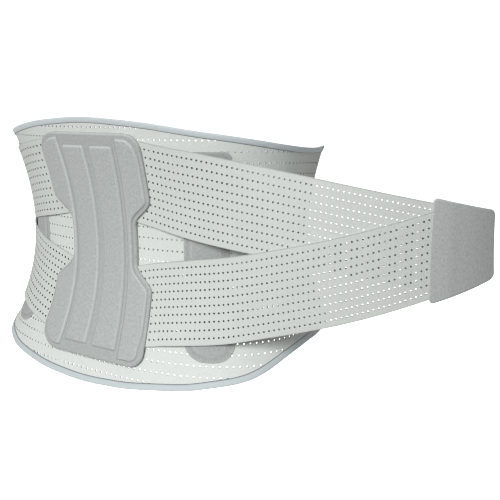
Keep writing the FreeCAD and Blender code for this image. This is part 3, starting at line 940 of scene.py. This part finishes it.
# ---- Straps ----
def strap_piece(name, place, side, level, part, s0, s1):
    """Perforated elastic strap between two distances along the waist."""
    start, slope = UPPER_STRAP if level == "upper" else LOWER_STRAP
    bow, ease_bottom, ease_top = STRAP_SHAPE[f"{name}_{level}"]
    radius, pitch = STRAP_HOLES[f"{name}_{level}"]
    near, far, thickness = LEFT_STRAPS if side == LEFT else RIGHT_STRAPS
    if level == "upper":
        far = near
    tilt = math.hypot(1.0, slope)
    count = 2 * round((s1 - s0) / pitch)
    distance = np.linspace(s0, s1, count + 1)
    order = np.arange(count + 1)
    if side == LEFT:
        distance, order = distance[::-1], order[::-1]
    margin = (STRAP_WIDTH - STRAP_ROW_PITCH * (STRAP_ROWS - 1)) / 2.0
    lines, rows = [-STRAP_WIDTH / 2.0, -STRAP_WIDTH / 2.0 + STRAP_SELVEDGE], [False, False]
    for i in range(STRAP_ROWS):
        middle = -STRAP_WIDTH / 2.0 + margin + STRAP_ROW_PITCH * i
        lines += [middle - ROW_HALF, middle, middle + ROW_HALF]
        rows += [False, True, False]
    lines += [STRAP_WIDTH / 2.0 - STRAP_SELVEDGE, STRAP_WIDTH / 2.0]
    rows += [False, False]
    lines = np.array(lines)
    centre = start + slope * distance
    share = np.clip((distance - BOW_FROM) / (BOW_TO - BOW_FROM), 0.0, 1.0)
    centre = centre + bow * np.sin(math.pi * share) ** 2
    share = lines[:, None] / STRAP_WIDTH + 0.5
    heights = centre[None, :] + lines[:, None] * tilt
    for (rise, full, none), weight in ((ease_bottom, 1.0 - share), (ease_top, share)):
        heights = heights + rise * weight * smooth((none - distance) / (none - full))[None, :]
    holes = np.array(rows)[:, None] & (order % 2 == 1)[None, :]
    holes[:, 0] = False
    holes[:, -1] = False

    def inner(s):
        climb = smooth((np.abs(s) - CLIMB_FROM) / STRAP_CLIMB)
        cross = smooth((np.abs(s) - CROSS_FROM) / CROSS_CLIMB)
        return ROOT_OFFSET + (near - ROOT_OFFSET) * climb + (far - near) * cross

    def outer(s):
        return inner(s) + thickness

    bands = [(side * distance, heights, holes, lines[:, None])]
    piece = perforated(f"{name}_{level}_strap_{part}", place, bands, inner, outer,
                       (MATERIAL["strap"], MATERIAL["hole"]), radius)
    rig.slot(piece, "strap_elastic")
    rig.sheet(piece, flat=((s1 - s0) * MM * 1.04, STRAP_WIDTH * MM), held="stretched")
    return piece


def build_straps():
    for side, name, place in FLANKS:
        for level in ("upper", "lower"):
            piece = strap_piece(name, place, side, level, "root", STRAP_ROOT, STRAP_JOIN)
            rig.replaces(piece, f"{name}_strap_roots", f"{name}_bend_straps")
            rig.blend(piece, "back", f"{name}_wing",
                     **bend_points(side, BEND_FROM + 1.0, STRAP_JOIN))
            piece = strap_piece(name, place, side, level, "run", STRAP_JOIN, STRAP_TAIL)
            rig.replaces(piece, f"{name}_{level}_strap")
            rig.blend(piece, f"{name}_wing", f"{name}_straps",
                     **bend_points(side, STRAP_JOIN, BEND_TO + 3.0))
            piece = strap_piece(name, place, side, level, "end", STRAP_TAIL, STRAP_TIP)
            ends = [tuple(place(side * s, 0.0, 6.0) * MM)
                    for s in (STRAP_TAIL + 6.0, TAB_START + 2.0)]
            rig.blend(piece, f"{name}_straps", f"{name}_tab", start=ends[0], end=ends[1])


# ---- Lumbar panel ----
PANEL_BACK = 4.9
PANEL_FLANGE = 7.0          # offset of the flat flange round the cushions
CUSHION_TOP = 9.1
CUSHION_BEVEL = 1.9
CUSHION_CROWN = 0.5
PANEL_EDGE = 1.7            # width of the rounded outer edge
PANEL_WALL = 1.1            # thickness of the cover over the cushions
CUSHION_CORNER = 2.2
CUSHION_SPREAD = 12.0       # the crown rises over this width
CUSHION_HOLLOW = 1.2        # the cover is hollow under what is raised by more than this
# The outer cushions' distance from the panel's edge at the ends and at the sides; it changes
# over a length, from a height.
CUSHION_INSET, CUSHION_INSET_SIDE = 5.4, 3.4
INSET_FROM, INSET_OVER = 84.0, 18.0
INNER_CUSHION = (3.4, 30.4)
INNER_TOP, INNER_BOTTOM = 98.8, -105.0
OUTER_FROM = 34.4
FOAM_BACK = 6.0
RIM_WIDTH, RIM_DIP = 2.6, 1.2           # the rim turns down over this width, by this much
RIM_OVER_STRAPS, RIM_TO_KNIT = 4.5, 2.4
FLANGE_EDGE = 0.35          # share of the flange's rise that its outer edge keeps
# The rim is bare between, above and below the straps: height where each bare stretch begins,
# and the length over which the rim turns down there.
STRAPS_APART, STRAPS_ABOVE, STRAPS_BELOW = (26.0, 8.0), (106.0, 4.0), (105.0, 6.0)


def rounded_limit(corners):
    """Half width of a symmetric outline at a height, from its rounded corners."""
    points = [np.array([0.0, corners[0][1]])] + [np.array(c[:2]) for c in corners]
    points.append(np.array([0.0, corners[-1][1]]))
    trace = []
    for before, corner, after, (_, _, radius) in zip(points, points[1:], points[2:], corners):
        back = (before - corner) / np.linalg.norm(before - corner)
        ahead = (after - corner) / np.linalg.norm(after - corner)
        half = math.acos(float(np.clip(back @ ahead, -1, 1))) / 2.0
        reach = radius / math.tan(half)
        middle = (back + ahead) / np.linalg.norm(back + ahead)
        centre = corner + middle * (radius / math.sin(half))
        first = corner + back * reach - centre
        last = corner + ahead * reach - centre
        span = math.atan2(first[0] * last[1] - first[1] * last[0], first @ last)
        base = math.atan2(first[1], first[0])
        for share in np.linspace(0.0, 1.0, 9):
            angle = base + span * share
            trace.append(centre + radius * np.array([math.cos(angle), math.sin(angle)]))
    trace = np.array(trace)
    order = np.argsort(trace[:, 1], kind="stable")
    return trace[order]


def panel_grid():
    """Grid of places over the dog-bone outline: columns keep to the cushions' straight edges
    in the middle and spread out to the outline at the sides."""
    traces = [rounded_limit(corners) for corners in (PANEL_CORNERS_LEFT, PANEL_CORNERS_RIGHT)]
    inner = np.linspace(0.0, OUTER_FROM, 35)
    share = np.linspace(0.0, 1.0, 23)[1:]
    ends = traces[0][0, 1], traces[0][-1, 1]
    z = np.unique(np.concatenate([np.linspace(*ends, 190)] + [trace[:, 1] for trace in traces]))
    keep = np.concatenate([[True], np.diff(z) > 0.25])
    keep[-1] = True
    z = z[keep]
    halves = []
    for trace in traces:
        width = np.interp(z, trace[:, 1], trace[:, 0])
        halves.append(np.concatenate([np.broadcast_to(inner, (len(z), len(inner))),
                                      OUTER_FROM + (width[:, None] - OUTER_FROM) * share], 1))
    s = np.concatenate([-halves[0][:, :0:-1], halves[1]], 1)
    return s, np.broadcast_to(z[:, None], s.shape)


def box_inside(s, z, s0, s1, z0, z1, radius):
    """Distance inside a rounded rectangle, negative outside."""
    dx = np.abs(s - (s0 + s1) / 2.0) - ((s1 - s0) / 2.0 - radius)
    dz = np.abs(z - (z0 + z1) / 2.0) - ((z1 - z0) / 2.0 - radius)
    outside = np.hypot(np.maximum(dx, 0.0), np.maximum(dz, 0.0))
    return radius - outside - np.minimum(np.maximum(dx, dz), 0.0)


def cushion(inside, width):
    """Height share of a cushion with bevelled sides and a low crown."""
    edge = smooth(inside / CUSHION_BEVEL)
    crown = 1.0 - (1.0 - np.clip(inside / width, 0.0, 1.0)) ** 2
    return edge * (CUSHION_TOP - PANEL_FLANGE) + CUSHION_CROWN * crown * edge


def quarter_round(share):
    """Height of a quarter circle, from 0 at its foot to 1 where it levels out."""
    return np.sqrt(np.clip(1.0 - (1.0 - np.clip(share, 0.0, 1.0)) ** 2, 0.0, 1.0))


def ridge(distance, centre, width):
    return np.exp(-((distance - centre) / width) ** 2)


def build_panel():
    s, z = panel_grid()
    edge = border_distance(s, z)
    half = np.abs(s)
    inner = box_inside(half, z, *INNER_CUSHION, INNER_BOTTOM, INNER_TOP, CUSHION_CORNER)
    to_end = smooth((np.abs(z) - INSET_FROM) / INSET_OVER)
    inset = CUSHION_INSET_SIDE + (CUSHION_INSET - CUSHION_INSET_SIDE) * to_end
    outer = np.minimum(edge - inset, half - OUTER_FROM)
    inside = np.maximum(inner, outer)
    raised = np.maximum(cushion(inner, CUSHION_SPREAD), cushion(outer, CUSHION_SPREAD))
    rounding = quarter_round(edge / PANEL_EDGE)
    rise = PANEL_FLANGE - PANEL_BACK
    flange = PANEL_BACK + rise * (FLANGE_EDGE + (1.0 - FLANGE_EDGE) * rounding)
    # The rim reaches down to the knit where no strap comes out from under the panel.
    bare = smooth((STRAPS_APART[0] - np.abs(z)) / STRAPS_APART[1])
    for height, (limit, length) in ((z, STRAPS_ABOVE), (-z, STRAPS_BELOW)):
        bare = np.maximum(bare, smooth((height - limit) / length))
    rim_share = 1.0 - smooth(edge / RIM_WIDTH)
    top = flange + raised - RIM_DIP * bare * rim_share
    low = PANEL_BACK - (PANEL_BACK - RIM_OVER_STRAPS + RIM_TO_KNIT * bare) * rim_share
    bottom = np.where(raised > CUSHION_HOLLOW, top - PANEL_WALL, low)
    # Painted highlight along the cushions' shoulders and the outer edge; painted shade on the flange and in the
    # valleys, deepest at the cushions' feet.
    painted_highlight = 0.55 * ridge(inside, CUSHION_BEVEL * 0.8, 0.6) + 0.12 * ridge(edge, 0.8, 0.8)
    painted_shade = 0.25 * smooth(1.0 - inside / 1.2) * smooth(edge / 2.0) + 0.7 * ridge(inside, 0.0, 0.5)
    piece = slab("lumbar_panel", trunk, s, z, bottom, top, MATERIAL["panel"], 60.0, (painted_highlight, painted_shade))
    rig.slot(piece, "panel_cover")
    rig.replaces(piece, "lumbar_panel_cover")
    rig.padded(piece, fill=0.7)
    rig.ride(piece, "back")


# ---- Foam pads ----
FOAM_INSET = 1.9            # the foam stays this far inside its cushion's foot
FOAM_GAP = 0.15             # and this far under the cover
FOAM_EDGE = 0.4             # share of its thickness that its edge keeps


def inset_limit(trace, inset, z):
    """Half width of an outline drawn in by a distance, at each height."""
    half = np.linspace(OUTER_FROM, trace[:, 0].max(), 160)
    s, height = np.broadcast_arrays(half[None, :], z[:, None])
    clear = border_distance(s, height, trace) >= inset
    clear &= s < np.interp(z, trace[:, 1], trace[:, 0])[:, None]
    return np.where(clear, s, OUTER_FROM).max(1)


def build_foam():
    """Foam pad of each cushion, rounded over inside the cover."""
    share = np.linspace(0.0, 1.0, 25)
    for number, side, corners in (
            (1, LEFT, PANEL_CORNERS_LEFT), (2, LEFT, None),
            (3, RIGHT, None), (4, RIGHT, PANEL_CORNERS_RIGHT)):
        if corners is None:
            z = np.linspace(INNER_BOTTOM + FOAM_INSET, INNER_TOP - FOAM_INSET, 120)
            near, far = INNER_CUSHION[0] + FOAM_INSET, INNER_CUSHION[1] - FOAM_INSET + 0.0 * z
        else:
            trace = rounded_limit(corners)
            inset = CUSHION_INSET + FOAM_INSET
            z = np.linspace(trace[0, 1] + inset + 0.2, trace[-1, 1] - inset - 0.2, 120)
            near, far = OUTER_FROM + FOAM_INSET, inset_limit(trace, inset, z)
            far = np.maximum(far, near + 0.5)
        s = side * (near + (far[:, None] - near) * (share if side == RIGHT else share[::-1]))
        z = np.broadcast_to(z[:, None], s.shape)
        edge = border_distance(s, z)
        rise = CUSHION_TOP - PANEL_WALL - FOAM_BACK - FOAM_GAP
        top = FOAM_BACK + rise * (FOAM_EDGE + (1.0 - FOAM_EDGE) * quarter_round(edge))
        piece = slab(f"lumbar_foam_{number}", trunk, s, z, np.full(s.shape, FOAM_BACK), top,
                     MATERIAL["foam"], 60.0)
        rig.slot(piece, "foam")
        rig.replaces(piece, f"lumbar_panel_pad_{number}")
        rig.padded(piece, fill=0.8)
        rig.ride(piece, "back")


# ---- Side pockets ----
POCKET_FLANGE, POCKET_RAISED = 2.6, 3.4
STAY_BACK, STAY_FRONT = 2.1, 2.9
STAY_WIDTH, STAY_TOP, STAY_BOTTOM = 27.0, 86.0, -93.0
STAY_RADIUS = 6.0
POCKET_BACK, POCKET_CLOTH = 1.9, 0.55
POCKET_SEAM = 4.0           # distance of the stitched line from the edge
POCKET_RISE_FROM, POCKET_RISE_OVER = 6.2, 1.8


def upright_grid(side, corners, rows, columns):
    """Grid over a rounded, upright strip at the pockets' place."""
    trace = rounded_limit(corners)
    z = np.unique(np.concatenate([np.linspace(trace[0, 1], trace[-1, 1], rows), trace[:, 1]]))
    width = np.interp(z, trace[:, 1], trace[:, 0])
    s = side * POCKET_CENTRE + width[:, None] * np.linspace(-1.0, 1.0, columns)[None, :]
    return s, np.broadcast_to(z[:, None], s.shape)


def build_pocket(side, name):
    half = POCKET_WIDTH / 2.0
    corners = [(half, POCKET_TOP, POCKET_RADIUS_TOP), (half, POCKET_BOTTOM, POCKET_RADIUS_BOTTOM)]
    s, z = upright_grid(side, corners, 90, 61)
    edge = border_distance(s, z)
    low = POCKET_BACK + POCKET_CLOTH
    top = low + (POCKET_FLANGE - POCKET_BACK - POCKET_CLOTH) * np.sqrt(np.clip(edge, 0.0, 1.0))
    rise = smooth((edge - POCKET_RISE_FROM) / POCKET_RISE_OVER)
    top = top + (POCKET_RAISED - POCKET_FLANGE) * rise
    top = top - 0.18 * ridge(edge, POCKET_SEAM, 0.5)
    bottom = np.where(top > low + POCKET_CLOTH, top - POCKET_CLOTH, POCKET_BACK)
    # Painted highlight along the raised part's shoulder and the outer edge, painted shade in the stitched groove.
    painted_highlight = 0.35 * ridge(edge, 7.6, 0.8) + 0.2 * ridge(edge, 0.6, 0.6)
    painted_shade = 0.35 * ridge(edge, POCKET_SEAM, 0.9)
    piece = slab(f"{name}_stay_pocket", trunk, s, z, bottom, top, MATERIAL["pocket"], 60.0,
                 (painted_highlight, painted_shade))
    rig.slot(piece, "pocket_cover")
    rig.replaces(piece, f"{name}_side_pocket")
    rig.padded(piece, fill=0.5)
    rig.ride(piece, f"{name}_wing")

    corners = [(STAY_WIDTH / 2.0, height, STAY_RADIUS) for height in (STAY_TOP, STAY_BOTTOM)]
    s, z = upright_grid(side, corners, 60, 13)
    edge = border_distance(s, z)
    fall = 0.3 * (1.0 - np.clip(edge / 0.8, 0.0, 1.0)) ** 2
    piece = slab(f"{name}_stay", trunk, s, z, STAY_BACK + fall, STAY_FRONT - fall,
                 MATERIAL["plastic"], 40.0)
    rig.slot(piece, "stiffener_plastic")
    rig.replaces(piece, f"{name}_side_stay")
    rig.ride(piece, f"{name}_wing")


# ---- Hand tabs ----
def tab_grid(place, side):
    """Grid over a hand tab's trapezoid outline, rounded at its corners."""
    ends = [place(side * (TAB_MIDDLE + step), 0, 0) for step in (0.5, -0.5)]
    pace = float(np.linalg.norm(ends[0] - ends[1]))
    (_, top_near), (top_length, top_far), (low_length, low_far), (_, low_near) = TAB_CORNERS
    radius = TAB_RADIUS
    across, along = np.meshgrid(np.linspace(0.0, 1.0, 61), np.linspace(0.0, 1.0, 61))
    across = 0.5 - 0.5 * np.cos(math.pi * across)
    along = 0.5 - 0.5 * np.cos(math.pi * along)
    length = low_length + (top_length - low_length) * along
    low = low_near + (low_far - low_near) * across
    high = top_near + (top_far - top_near) * across
    into = np.maximum(np.maximum(radius - across * length, radius - (1.0 - across) * length), 0.0)
    drop = radius - np.sqrt(np.maximum(radius ** 2 - into ** 2, 0.0))
    z = low + drop + (high - low - 2.0 * drop) * along
    return across * length, z, pace


def tab_curl(u):
    """How far the drawn-out tab curls inwards, past the strap ends it holds."""
    return TAB_CURL * (np.maximum(u - TAB_HOLD, 0.0) / (TAB_CORNERS[1][0] - TAB_HOLD)) ** 2


def build_tab(side, name, place):
    u, z, pace = tab_grid(place, side)
    edge = border_distance(u, z)
    s = side * (TAB_START + u / pace)
    if side == LEFT:
        s, z, u, edge = (part[:, ::-1] for part in (s, z, u, edge))
    rounding = TAB_EDGE + (1.0 - TAB_EDGE) * quarter_round(edge / TAB_EDGE_WIDTH)
    settle = smooth((u - TAB_SETTLE_FROM) / TAB_SETTLE_OVER)
    curl = tab_curl(u) if side == RIGHT else 0.0
    outer = TAB_OUTER[0] + TAB_OUTER[1] * settle - curl
    inner = TAB_INNER[0] + TAB_INNER[1] * settle - curl
    middle = (outer + inner) / 2.0
    top = middle + (outer - middle) * rounding
    bottom = middle - (middle - inner) * rounding
    piece = slab(f"{name}_hand_tab", place, s, z, bottom, top, MATERIAL["tab"], 60.0)
    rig.slot(piece, "tab_cover")
    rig.replaces(piece, f"{name}_tab_cover", f"{name}_tab_core")
    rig.padded(piece, fill=0.4)
    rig.ride(piece, f"{name}_tab")

    shrink = 1.0 - 2.0 * TAB_BORDER / TAB_CORNERS[1][0]
    middle_s, middle_z = (s.max() + s.min()) / 2.0, (z.max() + z.min()) / 2.0
    s = middle_s + (s - middle_s) * shrink
    z = middle_z + (z - middle_z) * shrink
    edge = border_distance(u * shrink, z)
    curl = tab_curl((np.abs(s) - TAB_START) * pace) if side == RIGHT else 0.0
    inner = HOOK_FACE - curl
    bottom = inner - HOOK_THICKNESS + 0.4 * np.exp(-edge)
    piece = slab(f"{name}_tab_hooks", place, s, z, bottom, inner, MATERIAL["hook"], 60.0)
    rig.slot(piece, "hook_tape")
    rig.replaces(piece, f"{name}_tab_hook_pad")
    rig.padded(piece, fill=0.9)
    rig.ride(piece, f"{name}_tab")


# ---- Carried-over CAD nodes ----
def dress_nodes():
    finishes = {
        "lumbar_panel_lining": "lining", "lumbar_stay_caps": "cap", "left_closure_hook_pad": "hook",
        "right_closure_loop_pad": "loop", **{f"lumbar_stay_{i}": "steel" for i in (1, 2, 3, 4)},
    }
    for node, finish in finishes.items():
        piece = frame["nodes"][node]
        piece.data.materials.clear()
        piece.data.materials.append(MATERIAL[finish])


# ---- Camera, floor and light ----
SKY_LIGHT, SKY_WHITE = 0.27, 1.05     # what the sky gives as light, and how bright it looks
FLOOR_DROP, FLOOR_REACH = 0.25, 30.0
SHARPNESS = 1.2             # a sharp lens, so that the small holes stay apart
# Soft lights: azimuth, elevation, distance and size in metres, and power in watts.
LIGHTS = {"key": (15.0, 28.0, 1.8, 0.8, 26.5), "rear": (205.0, 48.0, 1.8, 1.2, 19.0)}


def bearing(azimuth, elevation):
    """Direction from the belt at two angles in degrees; azimuth 0 looks at the panel."""
    a, e = math.radians(azimuth), math.radians(elevation)
    return Vector((math.sin(a) * math.cos(e), -math.cos(a) * math.cos(e), math.sin(e)))


def build_camera():
    back = bearing(CAMERA_AZIMUTH, CAMERA_ELEVATION)
    azimuth = math.radians(CAMERA_AZIMUTH)
    right = Vector((math.cos(azimuth), math.sin(azimuth), 0.0))
    up = back.cross(right)
    place = (right * CAMERA_RIGHT + up * CAMERA_UP + back * CAMERA_DISTANCE) * MM
    roll = math.radians(CAMERA_ROLL)
    right, up = (right * math.cos(roll) + up * math.sin(roll),
                 up * math.cos(roll) - right * math.sin(roll))
    data = bpy.data.cameras.new("camera")
    data.lens = CAMERA_LENS
    data.sensor_width = CAMERA_SENSOR
    data.clip_start = 0.01
    camera = bpy.data.objects.new("camera", data)
    camera.matrix_world = Matrix((
        (right.x, up.x, back.x, place.x), (right.y, up.y, back.y, place.y),
        (right.z, up.z, back.z, place.z), (0.0, 0.0, 0.0, 1.0)))
    show(camera)
    bpy.context.scene.camera = camera


def area_light(name, azimuth, elevation, distance, size, power_watts):
    """Square soft light aimed at the belt."""
    direction = bearing(azimuth, elevation)
    data = bpy.data.lights.new(name, "AREA")
    data.size = size
    data.energy = power_watts
    light = bpy.data.objects.new(name, data)
    light.location = direction * distance
    light.rotation_euler = direction.to_track_quat("Z", "Y").to_euler()
    show(light)


def build_stage():
    floor_height = CAD_BOX[0].z - FLOOR_DROP
    mesh = bpy.data.meshes.new("floor")
    reach = FLOOR_REACH
    mesh.from_pydata([(-reach, -reach, floor_height), (reach, -reach, floor_height),
                      (reach, reach, floor_height), (-reach, reach, floor_height)],
                     [], [(0, 1, 2, 3)])
    floor = bpy.data.objects.new("floor", mesh)
    show(floor)
    n = Nodes("pale_floor")
    white = (1.0, 1.0, 1.0, 1.0)
    finish = {"Base Color": (0.9, 0.9, 0.9, 1.0), "Roughness": 1.0, "Emission Color": white,
              "Emission Strength": 1.0}
    for socket, value in finish.items():
        n.shader.inputs[socket].default_value = value
    mesh.materials.append(n.material)
    floor.visible_diffuse = False
    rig.stage(floor)
    world = bpy.data.worlds.new("studio")
    world.use_nodes = True
    tree = world.node_tree
    sky = tree.nodes["Background"]
    sky.inputs["Color"].default_value = white
    path = tree.nodes.new("ShaderNodeLightPath")
    level = tree.nodes.new("ShaderNodeMapRange")
    level.inputs["To Min"].default_value = SKY_LIGHT
    level.inputs["To Max"].default_value = SKY_WHITE
    tree.links.new(path.outputs["Is Camera Ray"], level.inputs["Value"])
    tree.links.new(level.outputs["Result"], sky.inputs["Strength"])
    bpy.context.scene.world = world
    bpy.context.scene.view_settings.view_transform = "Standard"
    bpy.context.scene.cycles.filter_width = SHARPNESS
    for name, setting in LIGHTS.items():
        area_light(name, *setting)


build_camera()
build_stage()
build_knit()
build_binding()
build_straps()
build_panel()
build_foam()
for belt_side, side_name, belt_place in FLANKS:
    build_pocket(belt_side, side_name)
    build_tab(belt_side, side_name, belt_place)
dress_nodes()

with open("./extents.json", "w") as size_file:
    boxes = {"cad": [list(corner) for corner in CAD_BOX],
             "visual": [list(corner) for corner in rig.bounds()]}
    json.dump(boxes, size_file)
